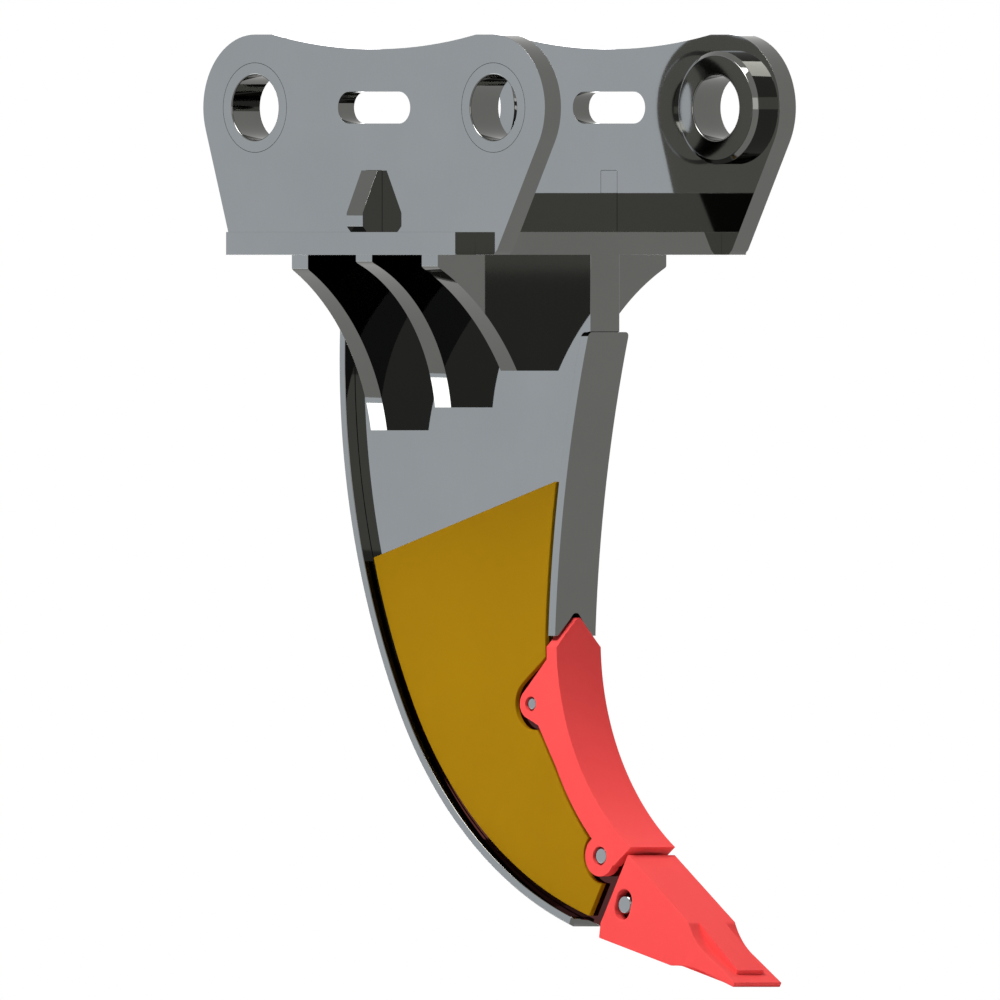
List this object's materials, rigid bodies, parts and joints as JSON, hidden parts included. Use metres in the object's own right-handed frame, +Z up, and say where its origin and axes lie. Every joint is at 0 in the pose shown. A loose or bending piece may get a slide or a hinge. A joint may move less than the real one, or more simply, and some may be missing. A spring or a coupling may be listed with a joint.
{
  "type": "excavator ripper",
  "caption": "Pin-on excavator ripper: twin-ear hanger on a gusseted base plate, a curved shank with wear plates, a pinned shroud and a socketed chisel tooth for breaking hard ground.",
  "frame": {"origin": "middle of the stick pin's bore, halfway between the two ears", "axes": "+X towards the side that the tooth points to, +Y along the pins to the left ear, +Z up from the tooth to the pins"},
  "size_m": [0.7443, 0.504, 1.1671],
  "materials": {
    "steel_plate": "smooth bare steel plate, satin to mirror-like",
    "yellow_paint": "semi-gloss yellow paint",
    "red_paint": "smooth red paint on cast steel",
    "pin_steel": "bare turned steel"
  },
  "bodies": {
    "root": {"left_ear": "steel_plate", "right_ear": "steel_plate", "stick_boss_left": "steel_plate", "stick_boss_right": "steel_plate", "link_boss_left": "steel_plate", "link_boss_right": "steel_plate", "base_plate": "steel_plate", "cross_plate": "steel_plate", "rear_gusset_left": "steel_plate", "rear_gusset_right": "steel_plate", "mid_gusset_left": "steel_plate", "mid_gusset_right": "steel_plate", "front_gusset_left": "steel_plate", "front_gusset_right": "steel_plate", "shank": "steel_plate", "back_flange": "steel_plate", "leading_edge_bar": "steel_plate", "left_wear_plate": "yellow_paint", "right_wear_plate": "yellow_paint", "shroud": "red_paint", "upper_shroud_pin": "pin_steel", "lower_shroud_pin": "pin_steel", "upper_shroud_retainer": "pin_steel", "lower_shroud_retainer": "pin_steel", "tooth": "red_paint", "tooth_pin": "pin_steel", "tooth_retainer": "pin_steel"}
  },
  "joints": []
}
